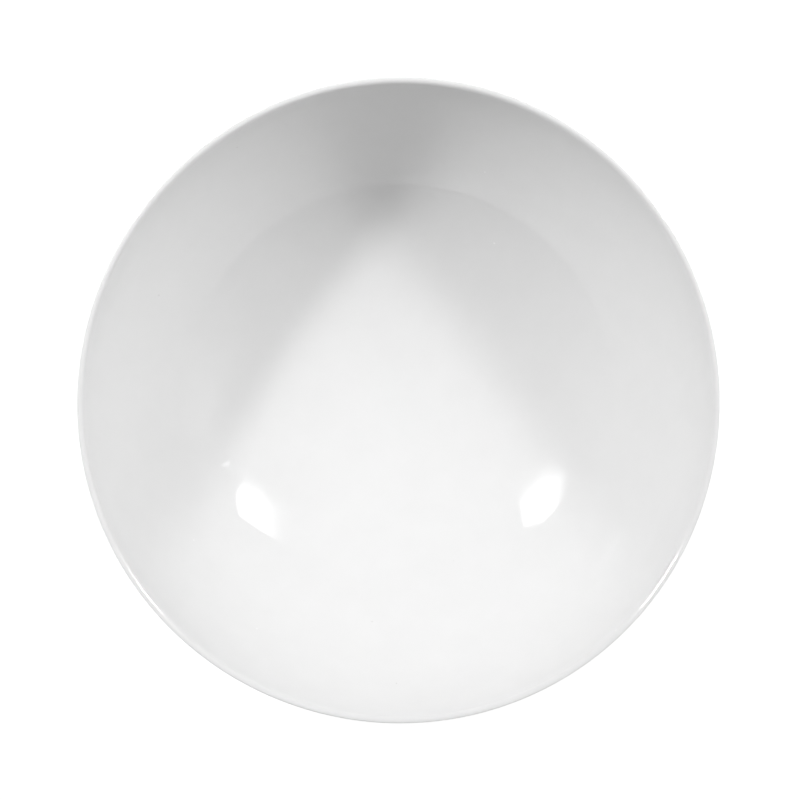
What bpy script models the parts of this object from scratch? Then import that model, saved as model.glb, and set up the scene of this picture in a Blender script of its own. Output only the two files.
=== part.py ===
"""Round salad bowl in glazed porcelain: the fired body, its glaze coat and the glaze under its base.

Metres, +Z up. The bowl stands on z = 0 and is turned about the Z axis.
"""
import math
from typing import NamedTuple

import bmesh
import bpy

MM = 0.001

# Driving dimensions of the glazed bowl
RIM_DIAMETER = 250.0 * MM
INNER_DEPTH = 80.0 * MM
LIP_THICKNESS = 2.2 * MM
BASE_THICKNESS = 5.2 * MM
BASE_CLEARANCE = 2.8 * MM

# The inside is three arcs that meet without a kink: floor, belly, and a wall that closes on the lip
FLOOR_ARC = 185.0 * MM
FLOOR_END = math.radians(20.0)
BELLY_ARC = 82.0 * MM
BELLY_END = math.radians(50.0)

# Foot ring, one piece with the body
FOOT_RADIUS = 51.0 * MM
FOOT_WIDTH = 6.0 * MM
FOOT_DRAFT = math.radians(8.0)
FOOT_EDGE = 0.8 * MM
FOOT_FILLET = 3.0 * MM
GLAZE_LINE = 1.8 * MM

# Layers: the glaze, and the clearance that stands for its fused bond to the body
GLAZE = 0.3 * MM
BOND_GAP = 0.3 * MM

# Facets of the turned surfaces
SEGMENTS = 56
FLOOR_STEPS = 3
BELLY_STEPS = 4
WALL_STEPS = 4
LIP_STEPS = 5
FILLET_STEPS = 3
EDGE_STEPS = 2
MERGE = 0.001 * MM
SMOOTH_ANGLE = math.radians(40.0)
BISECTIONS = 50

# Derived places of the floor and of the lip's centre line
SKIN = GLAZE + BOND_GAP
FLOOR_Z = BASE_CLEARANCE + BASE_THICKNESS
LIP_R = RIM_DIAMETER / 2 - LIP_THICKNESS / 2
LIP_Z = FLOOR_Z + INNER_DEPTH - LIP_THICKNESS / 2

Point = tuple[float, float]


class Station(NamedTuple):
    """A point of a turned profile, with the normal that points out of the glaze."""

    r: float
    z: float
    nr: float
    nz: float

    def sunk(self, depth: float) -> Point:
        """Point that lies this deep under the surface."""
        return self.r - depth * self.nr, self.z - depth * self.nz


def wall_arc() -> tuple[float, float]:
    """Radius and last slope of the arc that runs on from the belly and meets the lip."""
    belly_r = FLOOR_ARC * math.sin(FLOOR_END) + BELLY_ARC * (math.sin(BELLY_END) - math.sin(FLOOR_END))
    belly_z = FLOOR_ARC * (1 - math.cos(FLOOR_END)) + BELLY_ARC * (math.cos(FLOOR_END) - math.cos(BELLY_END))
    half_lip = LIP_THICKNESS / 2
    run = LIP_R - (belly_r + half_lip * math.sin(BELLY_END))
    rise = LIP_Z - (FLOOR_Z + belly_z - half_lip * math.cos(BELLY_END))
    turn = 2 * (math.atan2(rise, run) - BELLY_END)
    radius = math.hypot(run, rise) / (2 * math.sin(turn / 2)) - half_lip
    return radius, BELLY_END + turn


WALL_ARC, WALL_END = wall_arc()


def inside(slope: float) -> Station:
    """Station of the inside where its slope from level is the given angle."""
    r = 0.0
    z = FLOOR_Z
    start = 0.0
    for radius, end in ((FLOOR_ARC, FLOOR_END), (BELLY_ARC, BELLY_END), (WALL_ARC, WALL_END)):
        stop = min(slope, end)
        if stop > start:
            r += radius * (math.sin(stop) - math.sin(start))
            z += radius * (math.cos(start) - math.cos(stop))
            start = stop
    return Station(r, z, -math.sin(slope), math.cos(slope))


def outside(slope: float) -> Station:
    """Station of the outside, behind the inside's station of that slope; the wall thins late, near the lip."""
    thickness = BASE_THICKNESS - (BASE_THICKNESS - LIP_THICKNESS) * (slope / WALL_END) ** 2
    r, z = inside(slope).sunk(thickness)
    return Station(r, z, math.sin(slope), -math.cos(slope))


def steps(start: float, end: float, count: int) -> list[float]:
    """Evenly spaced values after start, up to and with end."""
    return [start + (end - start) * (i + 1) / count for i in range(count)]


def inside_slopes() -> list[float]:
    """Slopes of the inside's stations, from the axis to the lip."""
    return ([0.0] + steps(0.0, FLOOR_END, FLOOR_STEPS) + steps(FLOOR_END, BELLY_END, BELLY_STEPS)
            + steps(BELLY_END, WALL_END, WALL_STEPS))


def arc(centre: Point, radius: float, start: float, end: float, count: int,
        hollow: bool = False) -> list[Station]:
    """Stations on a round arc; a hollow arc's normals point at its centre."""
    side = -1.0 if hollow else 1.0
    return [Station(centre[0] + radius * math.cos(a), centre[1] + radius * math.sin(a),
                    side * math.cos(a), side * math.sin(a))
            for a in [start] + steps(start, end, count)]


def lip() -> list[Station]:
    """Half-round lip, from the inside's last station over the top to the outside's first."""
    start = math.pi / 2 + WALL_END
    return arc((LIP_R, LIP_Z), LIP_THICKNESS / 2, start, start - math.pi, LIP_STEPS)


class Flank:
    """One flank of the foot ring, drafted, with a fillet at its root on the bowl's outside."""

    def __init__(self, outer: bool) -> None:
        self.side = 1.0 if outer else -1.0
        self.foot_r = FOOT_RADIUS if outer else FOOT_RADIUS - FOOT_WIDTH
        self.normal = (self.side * math.cos(FOOT_DRAFT), -math.sin(FOOT_DRAFT))
        self.root_slope = self.find_root()

    def clearance(self, slope: float) -> float:
        """How far a fillet that touches the outside at that slope stands clear of the flank."""
        r, z = outside(slope).sunk(-FOOT_FILLET)
        return (r - self.foot_r) * self.normal[0] + z * self.normal[1] - FOOT_FILLET

    def find_root(self) -> float:
        """Slope of the outside where the fillet touches both it and the flank."""
        low, high = 0.0, WALL_END
        for _ in range(BISECTIONS):
            middle = (low + high) / 2
            if self.clearance(middle) * self.side < 0:
                low = middle
            else:
                high = middle
        return (low + high) / 2

    def stations(self) -> list[Station]:
        """Root fillet and flank, from the bowl's outside down to the glaze line."""
        centre = outside(self.root_slope).sunk(-FOOT_FILLET)
        end = math.pi - FOOT_DRAFT if self.side > 0 else FOOT_DRAFT
        fillet = arc(centre, FOOT_FILLET, math.pi / 2 + self.root_slope, end, FILLET_STEPS, hollow=True)
        line_r = self.foot_r + self.side * GLAZE_LINE * math.tan(FOOT_DRAFT)
        return fillet + [Station(line_r, GLAZE_LINE, *self.normal)]

    def bare_edge(self) -> list[Point]:
        """Eased edge between the bare flank and the standing face."""
        inset = (SKIN + FOOT_EDGE) / math.cos(FOOT_DRAFT) - FOOT_EDGE * math.tan(FOOT_DRAFT)
        centre = (self.foot_r - self.side * inset, FOOT_EDGE)
        start = -FOOT_DRAFT if self.side > 0 else math.pi + FOOT_DRAFT
        end = -math.pi / 2 if self.side > 0 else 3 * math.pi / 2
        return [(s.r, s.z) for s in arc(centre, FOOT_EDGE, start, end, EDGE_STEPS)]


def coat_stations() -> list[Station]:
    """Surface of the glaze coat, from the axis: inside, lip, outside and the foot's outer flank."""
    flank = Flank(outer=True)
    slopes = inside_slopes()
    up = [inside(a) for a in slopes[:-1]]
    down = [outside(a) for a in reversed(slopes[:-1]) if a > flank.root_slope]
    return up + lip() + down + flank.stations()


def base_stations() -> list[Station]:
    """Surface of the base glaze, from the axis: the underside and the foot's inner flank."""
    flank = Flank(outer=False)
    return [outside(a) for a in inside_slopes() if a < flank.root_slope] + flank.stations()


def film(stations: list[Station]) -> list[Point]:
    """Outline of a glaze film: out along its surface and back along its underside."""
    return [s.sunk(0.0) for s in stations] + [s.sunk(GLAZE) for s in reversed(stations)]


def body_outline() -> list[Point]:
    """Outline of the porcelain body, a skin's depth under both glazes, with the bare foot between them."""
    foot = Flank(outer=True).bare_edge() + Flank(outer=False).bare_edge()[::-1]
    return ([s.sunk(SKIN) for s in coat_stations()] + foot
            + [s.sunk(SKIN) for s in reversed(base_stations())])


def material(name: str, colour: tuple[float, float, float], roughness: float) -> bpy.types.Material:
    """Principled material with one colour."""
    made = bpy.data.materials.new(name)
    made.use_nodes = True
    shader = made.node_tree.nodes["Principled BSDF"]
    shader.inputs["Base Color"].default_value = (*colour, 1.0)
    shader.inputs["Roughness"].default_value = roughness
    shader.inputs["Metallic"].default_value = 0.0
    return made


def turned(name: str, outline: list[Point], finish: bpy.types.Material, parent: bpy.types.Object) -> None:
    """Solid turned about Z from an outline that starts and ends on the axis."""
    shape = bmesh.new()
    points = [shape.verts.new((r, 0.0, z)) for r, z in outline]
    edges = [shape.edges.new(pair) for pair in zip(points, points[1:])]
    bmesh.ops.spin(shape, geom=points + edges, cent=(0, 0, 0), axis=(0, 0, 1), angle=2 * math.pi,
                   steps=SEGMENTS, use_merge=True)
    bmesh.ops.remove_doubles(shape, verts=shape.verts, dist=MERGE)
    bmesh.ops.recalc_face_normals(shape, faces=shape.faces)
    mesh = bpy.data.meshes.new(name)
    shape.to_mesh(mesh)
    shape.free()
    mesh.shade_smooth()
    mesh.set_sharp_from_angle(angle=SMOOTH_ANGLE)
    mesh.materials.append(finish)
    piece = bpy.data.objects.new(name, mesh)
    bpy.context.scene.collection.objects.link(piece)
    piece.parent = parent


def main() -> None:
    """Clear the scene and build the bowl's three pieces."""
    for old in list(bpy.data.objects):
        bpy.data.objects.remove(old)
    bowl = bpy.data.objects.new("salad_bowl", None)
    bpy.context.scene.collection.objects.link(bowl)
    turned("porcelain_body", body_outline(), material("bare_porcelain", (0.86, 0.84, 0.80), 0.6), bowl)
    turned("glaze_coat", film(coat_stations()), material("white_glaze", (0.88, 0.88, 0.87), 0.06), bowl)
    turned("base_glaze", film(base_stations()), material("white_base_glaze", (0.87, 0.87, 0.86), 0.08), bowl)


main()
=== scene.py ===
"""White glazed porcelain salad bowl, seen from straight above on a white studio floor.

Metres, +Z up. The bowl stands on z = 0 and its pieces are turned about the Z axis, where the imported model
has them.
"""
import logging
import math
from collections.abc import Sequence
from dataclasses import dataclass
from enum import Enum
from functools import cached_property
from typing import Any, NamedTuple

import bpy
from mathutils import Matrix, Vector


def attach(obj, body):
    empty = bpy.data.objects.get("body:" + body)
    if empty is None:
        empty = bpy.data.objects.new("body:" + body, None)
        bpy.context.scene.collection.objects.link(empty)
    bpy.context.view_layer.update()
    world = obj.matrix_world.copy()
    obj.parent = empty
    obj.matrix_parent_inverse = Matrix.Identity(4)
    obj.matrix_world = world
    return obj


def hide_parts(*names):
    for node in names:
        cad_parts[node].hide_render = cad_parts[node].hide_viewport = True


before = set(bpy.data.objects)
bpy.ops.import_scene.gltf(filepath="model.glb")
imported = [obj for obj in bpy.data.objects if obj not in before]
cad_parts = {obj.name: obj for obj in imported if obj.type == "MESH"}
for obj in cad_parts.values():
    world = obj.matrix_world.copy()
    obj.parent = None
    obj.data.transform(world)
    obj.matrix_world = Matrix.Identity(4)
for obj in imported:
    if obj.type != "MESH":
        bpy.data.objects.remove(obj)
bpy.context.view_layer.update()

LOG = logging.getLogger("salad_bowl")
MM = 0.001

# Facets of the turned pieces, and how close two points are to be one
SPIN_STEPS = 256
MERGE = 0.002 * MM

# A Mix node has sockets of one name for each kind of data, so those for colours go by number
MIX_A = 6
MIX_B = 7
MIX_RESULT = 2

# Radians that a wave texture of scale 1 turns through in a metre
WAVE_TURN = 20.0

Point = tuple[float, float]
Colour = tuple[float, float, float, float]


def linear(code: str) -> Colour:
    """Turn an sRGB hex colour into linear light.

    Args:
        code: Six hex digits, red first.

    Returns:
        Linear red, green, blue and an alpha of 1.
    """
    values = [int(code[i:i + 2], 16) / 255 for i in (0, 2, 4)]
    red, green, blue = (v / 12.92 if v <= 0.04045 else ((v + 0.055) / 1.055) ** 2.4 for v in values)
    return red, green, blue, 1.0


def add_node(tree: bpy.types.NodeTree, kind: str, inputs: dict[str | int, Any] | None = None,
             **settings: Any) -> bpy.types.Node:
    """Add a node with its settings and links.

    Args:
        tree: Node tree that gets the node.
        kind: Blender's name for the kind of node.
        inputs: Values or source sockets for the node's own sockets, by name or number.
        settings: Values for the node's own properties.

    Returns:
        The new node.
    """
    node = tree.nodes.new(kind)
    for key, value in settings.items():
        setattr(node, key, value)
    for key, value in (inputs or {}).items():
        if isinstance(value, bpy.types.NodeSocket):
            tree.links.new(value, node.inputs[key])
        else:
            node.inputs[key].default_value = value
    return node


def steps(start: float, end: float, count: int) -> list[float]:
    """Evenly spaced values after start, up to and with end."""
    return [start + (end - start) * (i + 1) / count for i in range(count)]


class FlankSide(Enum):
    """Side of the foot ring that a flank faces: away from the axis or towards it."""

    OUTER = 1.0
    INNER = -1.0


class Station(NamedTuple):
    """A point of a turned profile, with the normal that points out of the surface."""

    r: float
    z: float
    nr: float
    nz: float

    def sunk(self, depth: float) -> Point:
        """Point that lies this deep under the surface."""
        return self.r - depth * self.nr, self.z - depth * self.nz


def arc(centre: Point, radius: float, angles: Sequence[float], hollow: bool = False) -> list[Station]:
    """Stations on a round arc.

    Args:
        centre: Centre of the arc.
        radius: Radius of the arc.
        angles: Where the stations lie, from the +R direction towards +Z.
        hollow: Whether the normals point at the centre.

    Returns:
        The stations in the order of the angles.
    """
    side = -1.0 if hollow else 1.0
    return [Station(centre[0] + radius * math.cos(a), centre[1] + radius * math.sin(a),
                    side * math.cos(a), side * math.sin(a)) for a in angles]


@dataclass(frozen=True)
class BowlForm:
    """Sizes of the glazed bowl and the curves that they give.

    The inside is a floor arc, a belly arc and a wall arc that closes on the lip. The first two end where
    their slope from level reaches a given angle, and each change of radius is eased over some slope on both
    sides. The lip has a large rounding on the inside and a small one on the outside. Firing warped the mouth
    out of round.
    """

    rim_diameter: float = 250.0 * MM
    inner_depth: float = 80.0 * MM
    lip_thickness: float = 2.2 * MM
    lip_inner: float = 2.12 * MM
    lip_outer: float = 0.36 * MM
    lip_meet: float = math.radians(80.0)
    base_thickness: float = 5.2 * MM
    base_clearance: float = 2.8 * MM
    floor_arc: float = 185.0 * MM
    floor_end: float = math.radians(20.0)
    belly_arc: float = 82.0 * MM
    belly_end: float = math.radians(50.0)
    wall_arc: float = 138.8 * MM
    ease: float = math.radians(7.5)
    ease_steps: int = 12
    glaze: float = 0.3 * MM
    inside_steps: int = 84
    lip_steps: int = 10
    warp: float = 0.0031
    warp_azimuth: float = math.radians(76.5)
    warp_lobes: tuple[int, ...] = (2, 3)

    @property
    def floor_z(self) -> float:
        """Height of the inside's lowest point."""
        return self.base_clearance + self.base_thickness

    @property
    def top(self) -> float:
        """Height of the lip."""
        return self.floor_z + self.inner_depth

    @property
    def lip_centres(self) -> tuple[Point, Point]:
        """Find the centres of the lip's roundings, which meet without a kink.

        Returns:
            Centre of the inner rounding and of the outer one.
        """
        apart = self.lip_inner - self.lip_outer
        outer_r = self.rim_diameter / 2 - self.lip_outer
        inner = (outer_r - apart * math.cos(self.lip_meet), self.top - self.lip_inner)
        return inner, (outer_r, inner[1] + apart * math.sin(self.lip_meet))

    def eased_arcs(self) -> list[Point]:
        """List the inside's arcs up to the wall, with short arcs that ease each change of radius.

        Returns:
            Radius and last slope of each arc.
        """
        arcs: list[Point] = []
        for radius, end, after in ((self.floor_arc, self.floor_end, self.belly_arc),
                                   (self.belly_arc, self.belly_end, self.wall_arc)):
            arcs.append((radius, end - self.ease))
            for i, slope in enumerate(steps(end - self.ease, end + self.ease, self.ease_steps)):
                share = (i + 0.5) / self.ease_steps
                arcs.append((radius + share * (after - radius), slope))
        return arcs

    def along(self, arcs: Sequence[Point], slope: float) -> Point:
        """Follow arcs outwards from the inside's lowest point.

        Args:
            arcs: Radius and last slope of each arc.
            slope: Slope from level to stop at.

        Returns:
            Plan radius and height that are reached there.
        """
        r = 0.0
        z = 0.0
        start = 0.0
        for radius, end in arcs:
            stop = min(slope, end)
            if stop > start:
                r += radius * (math.sin(stop) - math.sin(start))
                z += radius * (math.cos(start) - math.cos(stop))
                start = stop
        return r, z

    @cached_property
    def arcs(self) -> list[Point]:
        """List all arcs of the inside; the last one closes on the lip.

        Returns:
            Radius and last slope of each arc.
        """
        arcs = self.eased_arcs()
        start = arcs[-1][1]
        r, z = self.along(arcs, start)
        lip = self.lip_centres[0]
        run = lip[0] - (r + self.lip_inner * math.sin(start))
        rise = lip[1] - (self.floor_z + z - self.lip_inner * math.cos(start))
        turn = 2 * (math.atan2(rise, run) - start)
        radius = math.hypot(run, rise) / (2 * math.sin(turn / 2)) - self.lip_inner
        return arcs + [(radius, start + turn)]

    def slopes(self) -> list[float]:
        """Slopes of the inside's stations, evenly spaced from the axis to the lip."""
        return [0.0] + steps(0.0, self.arcs[-1][1], self.inside_steps)

    def inside(self, slope: float) -> Station:
        """Station of the inside where its slope from level is the given angle."""
        r, z = self.along(self.arcs, slope)
        return Station(r, self.floor_z + z, -math.sin(slope), math.cos(slope))

    def outside(self, slope: float) -> Station:
        """Find a station of the outside; the wall thins late, near the lip.

        Args:
            slope: Slope of the inside's station that it lies behind.

        Returns:
            The station.
        """
        share = slope / self.arcs[-1][1]
        thickness = self.base_thickness - (self.base_thickness - self.lip_thickness) * share ** 2
        r, z = self.inside(slope).sunk(thickness)
        return Station(r, z, math.sin(slope), -math.cos(slope))

    def lip(self) -> list[Station]:
        """Round the lip, from the inside over the top to the outside.

        Returns:
            The lip's stations.
        """
        inner, outer = self.lip_centres
        start = math.pi / 2 + self.arcs[-1][1]
        return (arc(inner, self.lip_inner, [start] + steps(start, self.lip_meet, self.lip_steps))
                + arc(outer, self.lip_outer, steps(self.lip_meet, start - math.pi, self.lip_steps)))

    def pull(self, place: Vector) -> float:
        """Share of its radius by which firing pulled a place outwards, the more the higher it lies."""
        turn = math.atan2(place.y, place.x) - self.warp_azimuth
        return self.warp * (place.z / self.top) ** 2 * sum(math.cos(n * turn) for n in self.warp_lobes)


@dataclass(frozen=True)
class FootFlank:
    """One flank of the foot ring, drafted, with a fillet at its root on the bowl's outside."""

    form: BowlForm
    side: FlankSide
    radius: float = 51.0 * MM
    width: float = 6.0 * MM
    draft: float = math.radians(8.0)
    edge: float = 0.8 * MM
    fillet: float = 3.0 * MM
    glaze_line: float = 1.8 * MM
    fillet_steps: int = 10
    edge_steps: int = 6
    bisections: int = 40

    @property
    def foot_r(self) -> float:
        """Radius of the flank's plane where it meets the table."""
        return self.radius if self.side is FlankSide.OUTER else self.radius - self.width

    @property
    def normal(self) -> Point:
        """Normal of the flank."""
        return self.side.value * math.cos(self.draft), -math.sin(self.draft)

    def root(self) -> float:
        """Find where the fillet touches both the outside and the flank.

        Returns:
            Slope of the outside there.
        """
        low = 0.0
        high = self.form.belly_end
        for _ in range(self.bisections):
            middle = (low + high) / 2
            r, z = self.form.outside(middle).sunk(-self.fillet)
            gap = (r - self.foot_r) * self.normal[0] + z * self.normal[1] - self.fillet
            if gap * self.side.value < 0:
                low = middle
            else:
                high = middle
        return (low + high) / 2

    def glazed(self) -> list[Station]:
        """Run from the bowl's outside through the root fillet and down the flank to the glaze line.

        Returns:
            The stations in that order.
        """
        slope = self.root()
        start = math.pi / 2 + slope
        end = math.pi - self.draft if self.side is FlankSide.OUTER else self.draft
        centre = self.form.outside(slope).sunk(-self.fillet)
        fillet = arc(centre, self.fillet, [start] + steps(start, end, self.fillet_steps), hollow=True)
        line_r = self.foot_r + self.side.value * self.glaze_line * math.tan(self.draft)
        return fillet + [Station(line_r, self.glaze_line, *self.normal)]

    def bare(self, skin: float) -> list[Point]:
        """Ease the edge between the bare flank and the standing face.

        Args:
            skin: How deep the bare flank lies under the glazed one.

        Returns:
            Points from the flank to the standing face.
        """
        inset = (skin + self.edge) / math.cos(self.draft) - self.edge * math.tan(self.draft)
        outer = self.side is FlankSide.OUTER
        start = -self.draft if outer else math.pi + self.draft
        end = -math.pi / 2 if outer else 3 * math.pi / 2
        centre = (self.foot_r - self.side.value * inset, self.edge)
        return [s.sunk(0.0) for s in arc(centre, self.edge, [start] + steps(start, end, self.edge_steps))]


@dataclass(frozen=True)
class Dots:
    """Pinholes or grains in a fired layer, which show as dots where they lie near its face; pale pinhole
    dots are painted glints.

    Core is the share of a dot's size that has its full colour; the rest fades.
    """

    colour: str
    size_mm: float
    spacing_mm: float
    core: float = 0.5


@dataclass(frozen=True)
class Rings:
    """Rings about the axis that a turning or grinding tool leaves, and how they wander."""

    pitch_mm: float
    depth_mm: float
    wander: float = 1.5
    wander_detail: float = 1.0
    wander_scale: float = 0.3


@dataclass(frozen=True)
class Gathered:
    """Glaze that ran down and gathered at the foot, from its start height to that of its full tint."""

    colour: str
    start_mm: float
    full_mm: float


@dataclass(frozen=True)
class Finish:
    """A fired surface: its colours, gloss and the sizes of what breaks it up.

    Patterns are in millimetres of the real surface.
    """

    name: str
    light: str
    shade: str
    roughness: float
    ior: float
    cloud_mm: float
    grain_mm: float
    grain_depth_mm: float
    dots: tuple[Dots, ...] = ()
    rings: Rings | None = None
    gathered: Gathered | None = None
    gloss_spread: float = 0.15
    cloud_detail: float = 3.0
    grain_detail: float = 2.0

    def tint(self, tree: bpy.types.NodeTree, place: bpy.types.NodeSocket,
             clouds: bpy.types.NodeSocket) -> bpy.types.NodeSocket:
        """Lay the colours over each other: clouds, gathered glaze, dots.

        Args:
            tree: Node tree of the material.
            place: Place on the surface, in metres.
            clouds: Pattern of thicker and thinner places, from 0 to 1.

        Returns:
            The colour.
        """
        covers = [(clouds, self.shade)]
        if self.gathered:
            height = add_node(tree, "ShaderNodeSeparateXYZ", {"Vector": place}).outputs["Z"]
            share = add_node(tree, "ShaderNodeMapRange",
                             {"Value": height, "From Min": self.gathered.start_mm * MM,
                              "From Max": self.gathered.full_mm * MM}, interpolation_type="SMOOTHSTEP")
            covers.append((share.outputs["Result"], self.gathered.colour))
        for dots in self.dots:
            cells = add_node(tree, "ShaderNodeTexVoronoi",
                             {"Vector": place, "Scale": 1 / (dots.spacing_mm * MM)})
            reach = dots.size_mm / 2 / dots.spacing_mm
            share = add_node(tree, "ShaderNodeMapRange",
                             {"Value": cells.outputs["Distance"], "From Min": reach,
                              "From Max": reach * dots.core})
            covers.append((share.outputs["Result"], dots.colour))
        colour: Any = linear(self.light)
        for share, code in covers:
            colour = add_node(tree, "ShaderNodeMix", {"Factor": share, MIX_A: colour, MIX_B: linear(code)},
                              data_type="RGBA").outputs[MIX_RESULT]
        return colour

    def relief(self, tree: bpy.types.NodeTree, place: bpy.types.NodeSocket) -> bpy.types.NodeSocket:
        """Raise the grain and any rings.

        Args:
            tree: Node tree of the material.
            place: Place on the surface, in metres.

        Returns:
            The normal of the raised surface.
        """
        grain = add_node(tree, "ShaderNodeTexNoise",
                         {"Vector": place, "Scale": 1 / (self.grain_mm * MM), "Detail": self.grain_detail})
        height = add_node(tree, "ShaderNodeMath", {0: grain.outputs["Fac"], 1: self.grain_depth_mm},
                          operation="MULTIPLY").outputs[0]
        if self.rings:
            wave = add_node(tree, "ShaderNodeTexWave",
                            {"Vector": place, "Scale": 2 * math.pi / (WAVE_TURN * self.rings.pitch_mm * MM),
                             "Distortion": self.rings.wander, "Detail": self.rings.wander_detail,
                             "Detail Scale": self.rings.wander_scale},
                            wave_type="RINGS", rings_direction="Z")
            height = add_node(tree, "ShaderNodeMath",
                              {0: wave.outputs["Fac"], 1: self.rings.depth_mm, 2: height},
                              operation="MULTIPLY_ADD").outputs[0]
        bump = add_node(tree, "ShaderNodeBump", {"Height": height, "Strength": 1.0, "Distance": MM})
        return bump.outputs["Normal"]

    def make(self) -> bpy.types.Material:
        """Make the material, with clouded colour and gloss and a raised surface.

        Returns:
            A material on Object coordinates.
        """
        made = bpy.data.materials.new(self.name)
        made.use_nodes = True
        tree = made.node_tree
        shader = tree.nodes["Principled BSDF"]
        shader.inputs["IOR"].default_value = self.ior
        place = add_node(tree, "ShaderNodeTexCoord").outputs["Object"]
        clouds = add_node(tree, "ShaderNodeTexNoise",
                          {"Vector": place, "Scale": 1 / (self.cloud_mm * MM),
                           "Detail": self.cloud_detail}).outputs["Fac"]
        gloss = add_node(tree, "ShaderNodeMapRange",
                         {"Value": clouds, "To Min": (1 - self.gloss_spread) * self.roughness,
                          "To Max": (1 + self.gloss_spread) * self.roughness})
        tree.links.new(self.tint(tree, place, clouds), shader.inputs["Base Color"])
        tree.links.new(gloss.outputs["Result"], shader.inputs["Roughness"])
        tree.links.new(self.relief(tree, place), shader.inputs["Normal"])
        return made


# Clear glaze over white clay: neutral white with a wet gloss, clouded a shade where the coat is thicker,
# with a few real pinholes whose pale dots are painted glints, grey grains, and a cooler band where it
# gathered above the foot
COAT_GLAZE = Finish(
    name="clear_glaze_on_white_porcelain_glost_fired",
    light="F0F0F0",
    shade="ECECEC",
    roughness=0.04,
    ior=1.5,
    cloud_mm=12.0,
    grain_mm=6.0,
    grain_depth_mm=0.0004,
    # The pale dots are real pinholes drawn lighter than the glaze: their paleness is a painted glint
    dots=(Dots("FCFCFC", size_mm=1.0, spacing_mm=17.0), Dots("CFCECB", size_mm=0.7, spacing_mm=19.0)),
    gathered=Gathered("E2E6E6", start_mm=9.0, full_mm=3.0),
)

# The same glaze in the foot well, where it lies thinner: a touch warmer and less glossy, over the rings that
# turning left
BASE_GLAZE = Finish(
    name="thin_clear_glaze_on_turned_porcelain_base",
    light="EDECE9",
    shade="E5E4E0",
    roughness=0.09,
    ior=1.5,
    cloud_mm=12.0,
    grain_mm=4.0,
    grain_depth_mm=0.0010,
    dots=(Dots("C9C5BD", size_mm=0.6, spacing_mm=9.0),),
    rings=Rings(pitch_mm=2.6, depth_mm=0.012),
)

# Bare fired clay, wiped and ground level: warm matt white with grinding rings and a sugary grain, which is
# drawn coarser than the real one so that it shows
BARE_CLAY = Finish(
    name="unglazed_porcelain_wiped_and_ground",
    light="E4DFD6",
    shade="D8D2C6",
    roughness=0.55,
    ior=1.45,
    cloud_mm=9.0,
    grain_mm=0.6,
    grain_depth_mm=0.0200,
    dots=(Dots("A89F90", size_mm=0.5, spacing_mm=3.5),),
    rings=Rings(pitch_mm=0.9, depth_mm=0.010),
)


def turned(name: str, outline: Sequence[Point]) -> bpy.types.Object:
    """Turn an outline about the Z axis into a closed mesh.

    Args:
        name: Name of the piece.
        outline: Points in the plane of the profile; the first and the last lie on the axis.

    Returns:
        The piece, at the origin, with its place in its mesh.
    """
    bpy.ops.object.select_all(action="DESELECT")
    bpy.ops.mesh.primitive_plane_add(size=MM)
    piece = bpy.context.object
    piece.name = name
    piece.data.name = name
    bpy.ops.object.mode_set(mode="EDIT")
    bpy.ops.mesh.select_all(action="SELECT")
    bpy.ops.mesh.merge(type="CENTER")
    bpy.ops.transform.translate(value=(outline[0][0], 0.0, outline[0][1]))
    for (r, z), (next_r, next_z) in zip(outline, outline[1:]):
        bpy.ops.mesh.extrude_region_move(TRANSFORM_OT_translate={"value": (next_r - r, 0.0, next_z - z)})
    bpy.ops.mesh.select_all(action="SELECT")
    bpy.ops.mesh.spin(steps=SPIN_STEPS, angle=2 * math.pi, center=(0.0, 0.0, 0.0), axis=(0.0, 0.0, 1.0))
    bpy.ops.mesh.select_all(action="SELECT")
    bpy.ops.mesh.remove_doubles(threshold=MERGE)
    bpy.ops.mesh.normals_make_consistent(inside=False)
    bpy.ops.object.mode_set(mode="OBJECT")
    return piece


@dataclass(frozen=True)
class TurnedPiece:
    """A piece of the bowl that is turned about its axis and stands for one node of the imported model."""

    form: BowlForm
    name: str
    node: str
    slot: str
    finish: Finish
    crease: float = math.radians(40.0)
    roll_steps: int = 8

    def outline(self) -> list[Point]:
        """Outline that the piece is turned from; each kind of piece has its own."""
        raise NotImplementedError

    def film(self, surface: Sequence[Station]) -> list[Point]:
        """Lay a glaze film: out along its surface, round its rolled edge and back along its underside.

        Args:
            surface: Stations of the film's surface, from the axis to its edge.

        Returns:
            Outline of the film.
        """
        last = surface[-1]
        half = self.form.glaze / 2
        start = math.atan2(last.nz, last.nr)
        turn = math.copysign(math.pi, last.nr)
        roll = arc(last.sunk(half), half, steps(start, start - turn, self.roll_steps)[:-1])
        return ([s.sunk(0.0) for s in surface] + [s.sunk(0.0) for s in roll]
                + [s.sunk(self.form.glaze) for s in reversed(surface)])

    def build(self) -> bpy.types.Object:
        """Build the mesh and warp its mouth a hair out of round, as firing leaves it.

        Returns:
            The piece.
        """
        piece = turned(self.name, self.outline())
        for vertex in piece.data.vertices:
            stretch = 1 + self.form.pull(vertex.co)
            vertex.co.x *= stretch
            vertex.co.y *= stretch
        return piece

    def dress(self, piece: bpy.types.Object) -> None:
        """Smooth the piece, give it its finish and set it in the frame.

        Args:
            piece: The piece, which is selected.
        """
        piece.data.materials.append(self.finish.make())
        bpy.ops.object.shade_smooth_by_angle(angle=self.crease)
        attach(piece, "root")
        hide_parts(self.node)


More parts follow.
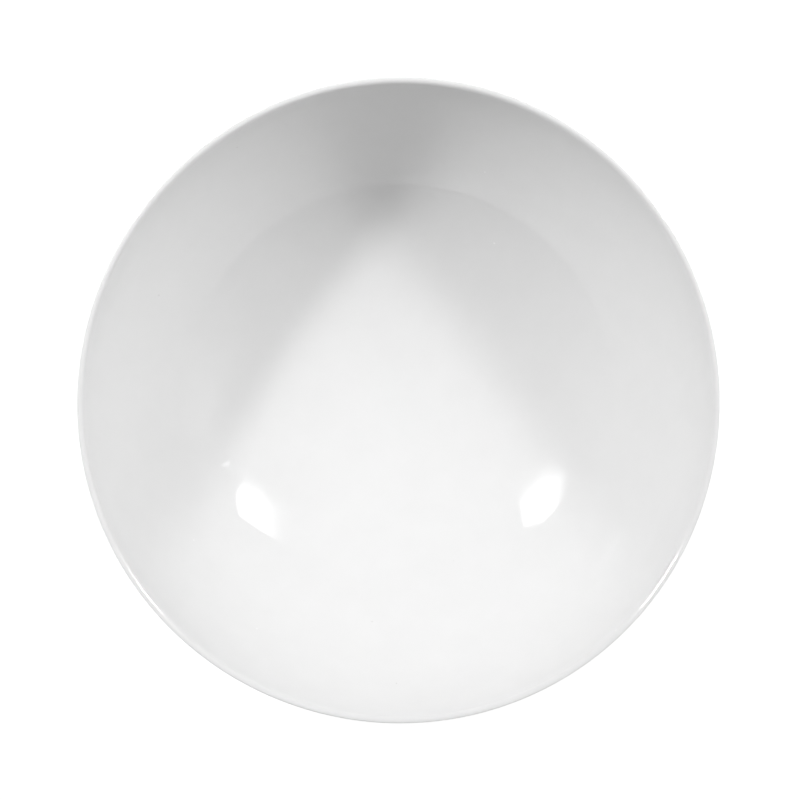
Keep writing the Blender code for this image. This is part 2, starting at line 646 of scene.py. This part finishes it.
@dataclass(frozen=True)
class GlazeCoat(TurnedPiece):
    """Glaze over the inside, the lip and the outside, down to the wiped foot."""

    name: str = "glossy_glaze_coat"
    node: str = "glaze_coat"
    slot: str = "white_glaze"
    finish: Finish = COAT_GLAZE

    @staticmethod
    def surface(form: BowlForm) -> list[Station]:
        """Run from the axis up the inside, over the lip and down the outside to the foot's glaze line.

        Args:
            form: Sizes of the bowl.

        Returns:
            The stations in that order.
        """
        flank = FootFlank(form, FlankSide.OUTER)
        root = flank.root()
        slopes = form.slopes()[:-1]
        up = [form.inside(slope) for slope in slopes]
        down = [form.outside(slope) for slope in reversed(slopes) if slope > root]
        return up + form.lip() + down + flank.glazed()

    def outline(self) -> list[Point]:
        """Outline of the coat."""
        return self.film(self.surface(self.form))


@dataclass(frozen=True)
class FootWellGlaze(TurnedPiece):
    """Glaze on the underside, inside the foot ring."""

    name: str = "foot_well_glaze"
    node: str = "base_glaze"
    slot: str = "base_glaze"
    finish: Finish = BASE_GLAZE

    @staticmethod
    def surface(form: BowlForm) -> list[Station]:
        """Run from the axis along the underside to the glaze line on the foot's inner flank.

        Args:
            form: Sizes of the bowl.

        Returns:
            The stations in that order.
        """
        flank = FootFlank(form, FlankSide.INNER)
        root = flank.root()
        return [form.outside(slope) for slope in form.slopes() if slope < root] + flank.glazed()

    def outline(self) -> list[Point]:
        """Outline of the patch."""
        return self.film(self.surface(self.form))


@dataclass(frozen=True)
class PorcelainBody(TurnedPiece):
    """Fired clay body under both glazes, with the bare foot ring between them."""

    name: str = "fired_porcelain_body"
    node: str = "porcelain_body"
    slot: str = "bare_porcelain"
    finish: Finish = BARE_CLAY
    bond: float = 0.05 * MM

    def outline(self) -> list[Point]:
        """Outline the body a bond's gap under its glazes, with the bare foot between them.

        Returns:
            Outline from the axis on the inside to the axis on the underside.
        """
        skin = self.form.glaze + self.bond
        coat = [s.sunk(skin) for s in GlazeCoat.surface(self.form)]
        well = [s.sunk(skin) for s in FootWellGlaze.surface(self.form)]
        outer = FootFlank(self.form, FlankSide.OUTER).bare(skin)
        inner = FootFlank(self.form, FlankSide.INNER).bare(skin)
        return coat + outer + inner[::-1] + well[::-1]


class LampFace(Enum):
    """Shape of a lamp's face, by Blender's name for it."""

    ROUND = "ELLIPSE"
    SQUARE = "RECTANGLE"

    @property
    def fill(self) -> float:
        """Share of its width times its height that the face covers."""
        return math.pi / 4 if self is LampFace.ROUND else 1.0


@dataclass(frozen=True)
class Lamp:
    """A flat studio lamp that faces the bowl.

    Azimuth is in degrees from +X. Reach and rise run outwards and upwards from the middle of the mouth.
    """

    name: str
    azimuth: float
    reach: float
    rise: float
    width: float
    height: float
    radiance: float
    face: LampFace = LampFace.ROUND

    def hang(self, mouth: Vector) -> bpy.types.Object:
        """Hang the lamp.

        Args:
            mouth: Middle of the bowl's mouth, which the lamp faces.

        Returns:
            The lamp.
        """
        azimuth = math.radians(self.azimuth)
        where = mouth + Vector((self.reach * math.cos(azimuth), self.reach * math.sin(azimuth), self.rise))
        bpy.ops.object.light_add(type="AREA", location=where)
        lamp = bpy.context.object
        lamp.name = self.name
        lamp.rotation_euler = (mouth - where).to_track_quat("-Z", "Y").to_euler()
        lamp.data.shape = self.face.value
        lamp.data.size = self.width
        lamp.data.size_y = self.height
        # An area lamp's watts are its radiance times its area times pi
        lamp.data.energy = self.radiance * self.face.fill * self.width * self.height * math.pi
        return lamp


class Side(NamedTuple):
    """One side of a softbox's lit face: its direction in degrees, its distance and the width of its fade."""

    angle: float
    reach: float
    fade: float


@dataclass(frozen=True)
class Softbox(Lamp):
    """A many-sided softbox; its cloth is lit evenly in the middle and fades towards some of its sides."""

    face: LampFace = LampFace.SQUARE
    sides: tuple[Side, ...] = ()
    falloff: float = 2.0

    def strength(self, tree: bpy.types.NodeTree) -> bpy.types.NodeSocket:
        """Work out how brightly each spot of the cloth is lit.

        Args:
            tree: Node tree of the lamp.

        Returns:
            Strength of the light, 1 in the middle and 0 past the sides.
        """
        size = (self.width, self.height, 0.0)
        corner = (-self.width / 2, -self.height / 2, 0.0)
        share = add_node(tree, "ShaderNodeNewGeometry").outputs["Parametric"]
        spot = add_node(tree, "ShaderNodeVectorMath", {0: share, 1: size, 2: corner},
                        operation="MULTIPLY_ADD").outputs[0]
        lit: Any = 1.0
        for side in self.sides:
            angle = math.radians(side.angle)
            way = (math.cos(angle), math.sin(angle), 0.0)
            out = add_node(tree, "ShaderNodeVectorMath", {0: spot, 1: way}, operation="DOT_PRODUCT")
            fade = add_node(tree, "ShaderNodeMapRange",
                            {"Value": out.outputs["Value"], "From Min": side.reach,
                             "From Max": side.reach - side.fade})
            lit = add_node(tree, "ShaderNodeMath", {0: fade.outputs["Result"], 1: lit},
                           operation="MINIMUM").outputs[0]
        return add_node(tree, "ShaderNodeMath", {0: lit, 1: self.falloff}, operation="POWER").outputs[0]

    def hang(self, mouth: Vector) -> bpy.types.Object:
        """Hang the lamp and shape its lit face.

        Args:
            mouth: Middle of the bowl's mouth, which the lamp faces.

        Returns:
            The lamp.
        """
        lamp = super().hang(mouth)
        lamp.data.use_nodes = True
        tree = lamp.data.node_tree
        tree.links.new(self.strength(tree), tree.nodes["Emission"].inputs["Strength"])
        return lamp


class Glow(NamedTuple):
    """A bright part of the room: where it lies in degrees, how closely it is gathered and its strength."""

    azimuth: float
    height: float
    focus: float
    strength: float


@dataclass(frozen=True)
class Studio:
    """White floor, two softboxes with a bright core each, a strip, pale walls and a camera above the bowl.

    Heights on the walls are sines of the angle above level. The photograph's frame is in pixels.
    """

    form: BowlForm
    lamps: tuple[Lamp, ...] = (
        Softbox("left_softbox", azimuth=145.3, reach=1.38, rise=1.225, width=0.96, height=0.96, radiance=6.8,
                sides=(Side(-8.0, 0.335, 0.04), Side(-41.0, 0.442, 0.28), Side(-90.0, 0.352, 0.03),
                       Side(-106.0, 0.332, 0.02), Side(-152.0, 0.310, 0.08), Side(153.0, 0.224, 0.02),
                       Side(100.0, 0.390, 0.22), Side(69.0, 0.405, 0.28), Side(21.0, 0.410, 0.28))),
        Softbox("right_softbox", azimuth=37.2, reach=1.36, rise=1.035, width=0.96, height=0.96, radiance=6.4,
                sides=(Side(-171.0, 0.222, 0.02), Side(-143.0, 0.237, 0.02), Side(-53.0, 0.229, 0.02),
                       Side(0.0, 0.455, 0.15), Side(31.0, 0.369, 0.30), Side(95.0, 0.378, 0.20),
                       Side(141.0, 0.397, 0.25))),
        Lamp("left_core", azimuth=145.3, reach=1.364, rise=1.228, width=0.32, height=0.16, radiance=117.0),
        Lamp("right_core", azimuth=37.2, reach=1.319, rise=1.072, width=0.24, height=0.18, radiance=77.0),
        Lamp("right_strip", azimuth=20.0, reach=1.420, rise=1.020, width=0.04, height=0.14, radiance=3.0),
    )
    glows: tuple[Glow, ...] = (
        Glow(0.0, 10.0, 20.0, 0.47), Glow(0.0, 30.0, 20.0, 1.85), Glow(25.0, 15.0, 20.0, 0.55),
        Glow(155.0, 15.0, 20.0, 0.48), Glow(180.0, 10.0, 20.0, 0.17), Glow(180.0, 30.0, 20.0, 0.52),
        Glow(180.0, 45.0, 8.0, 0.49), Glow(270.0, 3.0, 20.0, 0.20), Glow(315.0, 50.0, 8.0, 0.78),
        Glow(0.0, 90.0, 8.0, 0.52),
    )
    wall_colour: str = "FFFFFF"
    wall_top: float = 0.05
    ceiling_edge: float = 0.4
    ceiling: float = 0.8
    floor_size: float = 8.0
    floor_drop: float = 0.1 * MM
    floor_colour: str = "DCDCDC"
    floor_through: float = 0.36
    floor_glow: float = 0.905
    shadow_colour: str = "7C7C7C"
    # Reach of the painted contact shadow that dims the floor's glow near the foot
    painted_shade_reach: float = 30.0 * MM
    image_px: float = 800.0
    rim_px: float = 644.4
    centre_px: Point = (398.6, 400.5)
    camera_rise: float = 1.6
    sensor: float = 36.0

    def floor_finish(self) -> bpy.types.Material:
        """Make the floor's sheet.

        It looks white with a faint shadow, partly real and partly a painted contact shadow that dims its
        glow near the foot; it lights the bowl plainly and is open from below.

        Returns:
            The material.
        """
        made = bpy.data.materials.new("matt_white_acrylic_sheet")
        made.use_nodes = True
        tree = made.node_tree
        tree.nodes.clear()
        ray = add_node(tree, "ShaderNodeLightPath").outputs
        seen = ray["Is Camera Ray"]
        for kind in ("Is Glossy Ray", "Is Transmission Ray"):
            seen = add_node(tree, "ShaderNodeMath", {0: seen, 1: ray[kind]}, operation="MAXIMUM").outputs[0]
        # Painted contact shadow: the white glow that the camera sees is dimmed where the floor lies close to
        # the bowl's foot
        painted_contact_shade = add_node(tree, "ShaderNodeAmbientOcclusion", {"Distance": self.painted_shade_reach})
        glow = add_node(tree, "ShaderNodeMath", {0: painted_contact_shade.outputs["AO"], 1: self.floor_glow},
                        operation="MULTIPLY")
        white = add_node(tree, "ShaderNodeEmission", {"Strength": glow.outputs[0]})
        shadow = add_node(tree, "ShaderNodeBsdfDiffuse", {"Color": linear(self.shadow_colour)})
        looks = add_node(tree, "ShaderNodeAddShader", {0: shadow.outputs[0], 1: white.outputs[0]})
        pale = add_node(tree, "ShaderNodeBsdfDiffuse", {"Color": linear(self.floor_colour)})
        through = add_node(tree, "ShaderNodeEmission", {"Strength": self.floor_through})
        plain = add_node(tree, "ShaderNodeAddShader", {0: pale.outputs[0], 1: through.outputs[0]})
        top = add_node(tree, "ShaderNodeMixShader", {0: seen, 1: plain.outputs[0], 2: looks.outputs[0]})
        under = add_node(tree, "ShaderNodeBsdfTransparent")
        back = add_node(tree, "ShaderNodeNewGeometry").outputs["Backfacing"]
        both = add_node(tree, "ShaderNodeMixShader", {0: back, 1: top.outputs[0], 2: under.outputs[0]})
        add_node(tree, "ShaderNodeOutputMaterial", {"Surface": both.outputs[0]})
        return made

    def lay_floor(self) -> None:
        """Lay the floor a hair under the bowl's foot."""
        bpy.ops.mesh.primitive_plane_add(size=self.floor_size, location=(0.0, 0.0, -self.floor_drop))
        floor = bpy.context.object
        floor.name = "studio_floor"
        floor.data.materials.append(self.floor_finish())

    def brightness(self, tree: bpy.types.NodeTree, way: bpy.types.NodeSocket) -> bpy.types.NodeSocket:
        """Add up the bright parts of the room.

        Args:
            tree: Node tree of the world.
            way: Direction that the room is looked at in.

        Returns:
            Strength of the light from there.
        """
        bright: Any = 0.0
        for glow in self.glows:
            azimuth = math.radians(glow.azimuth)
            height = math.radians(glow.height)
            out = math.cos(height)
            aim = (math.cos(azimuth) * out, math.sin(azimuth) * out, math.sin(height))
            near = add_node(tree, "ShaderNodeVectorMath", {0: way, 1: aim}, operation="DOT_PRODUCT")
            near = add_node(tree, "ShaderNodeMath", {0: near.outputs["Value"], 1: 0.0}, operation="MAXIMUM")
            near = add_node(tree, "ShaderNodeMath", {0: near.outputs[0], 1: glow.focus}, operation="POWER")
            bright = add_node(tree, "ShaderNodeMath", {0: near.outputs[0], 1: glow.strength, 2: bright},
                              operation="MULTIPLY_ADD").outputs[0]
        return bright

    def light_walls(self) -> None:
        """Light the room: bright parts for the bowl, and plain white walls where the camera looks."""
        world = bpy.data.worlds.new("pale_studio_walls")
        bpy.context.scene.world = world
        world.use_nodes = True
        tree = world.node_tree
        tree.nodes.clear()
        way = add_node(tree, "ShaderNodeTexCoord").outputs["Generated"]
        walls = add_node(tree, "ShaderNodeBackground", {"Strength": self.brightness(tree, way)})
        height = add_node(tree, "ShaderNodeSeparateXYZ", {"Vector": way}).outputs["Z"]
        pale = add_node(tree, "ShaderNodeMapRange",
                        {"Value": height, "From Min": self.wall_top, "From Max": self.ceiling_edge,
                         "To Min": 1.0, "To Max": self.ceiling})
        white = add_node(tree, "ShaderNodeBackground",
                         {"Color": linear(self.wall_colour), "Strength": pale.outputs["Result"]})
        seen = add_node(tree, "ShaderNodeLightPath").outputs["Is Camera Ray"]
        both = add_node(tree, "ShaderNodeMixShader", {0: seen, 1: walls.outputs[0], 2: white.outputs[0]})
        add_node(tree, "ShaderNodeOutputWorld", {"Surface": both.outputs[0]})

    def set_camera(self) -> None:
        """Set the camera straight above the bowl, framed as the photograph is."""
        pixel = self.form.rim_diameter / self.rim_px
        middle = (self.image_px - 1) / 2
        right = (middle - self.centre_px[0]) * pixel
        up = (self.centre_px[1] - middle) * pixel
        where = (right, up, self.form.top + self.camera_rise)
        bpy.ops.object.camera_add(location=where, rotation=(0.0, 0.0, 0.0))
        camera = bpy.context.object
        camera.name = "photo_camera"
        camera.data.sensor_width = self.sensor
        camera.data.lens = self.sensor * self.camera_rise / (self.image_px * pixel)
        bpy.context.scene.camera = camera

    def build(self) -> None:
        """Set up the floor, the lamps, the room and the camera."""
        self.lay_floor()
        mouth = Vector((0.0, 0.0, self.form.top))
        for lamp in self.lamps:
            lamp.hang(mouth)
            LOG.info("%s hung", lamp.name)
        self.light_walls()
        self.set_camera()
        bpy.context.scene.view_settings.view_transform = "Standard"


def main() -> None:
    """Build the bowl and the studio round it."""
    logging.basicConfig(level=logging.INFO, format="%(name)s: %(message)s")
    form = BowlForm()
    for part in (PorcelainBody(form), GlazeCoat(form), FootWellGlaze(form)):
        piece = part.build()
        part.dress(piece)
        LOG.info("%s: %d faces, %s", piece.name, len(piece.data.polygons), part.finish.name)
    Studio(form).build()


if __name__ == "__main__":
    main()
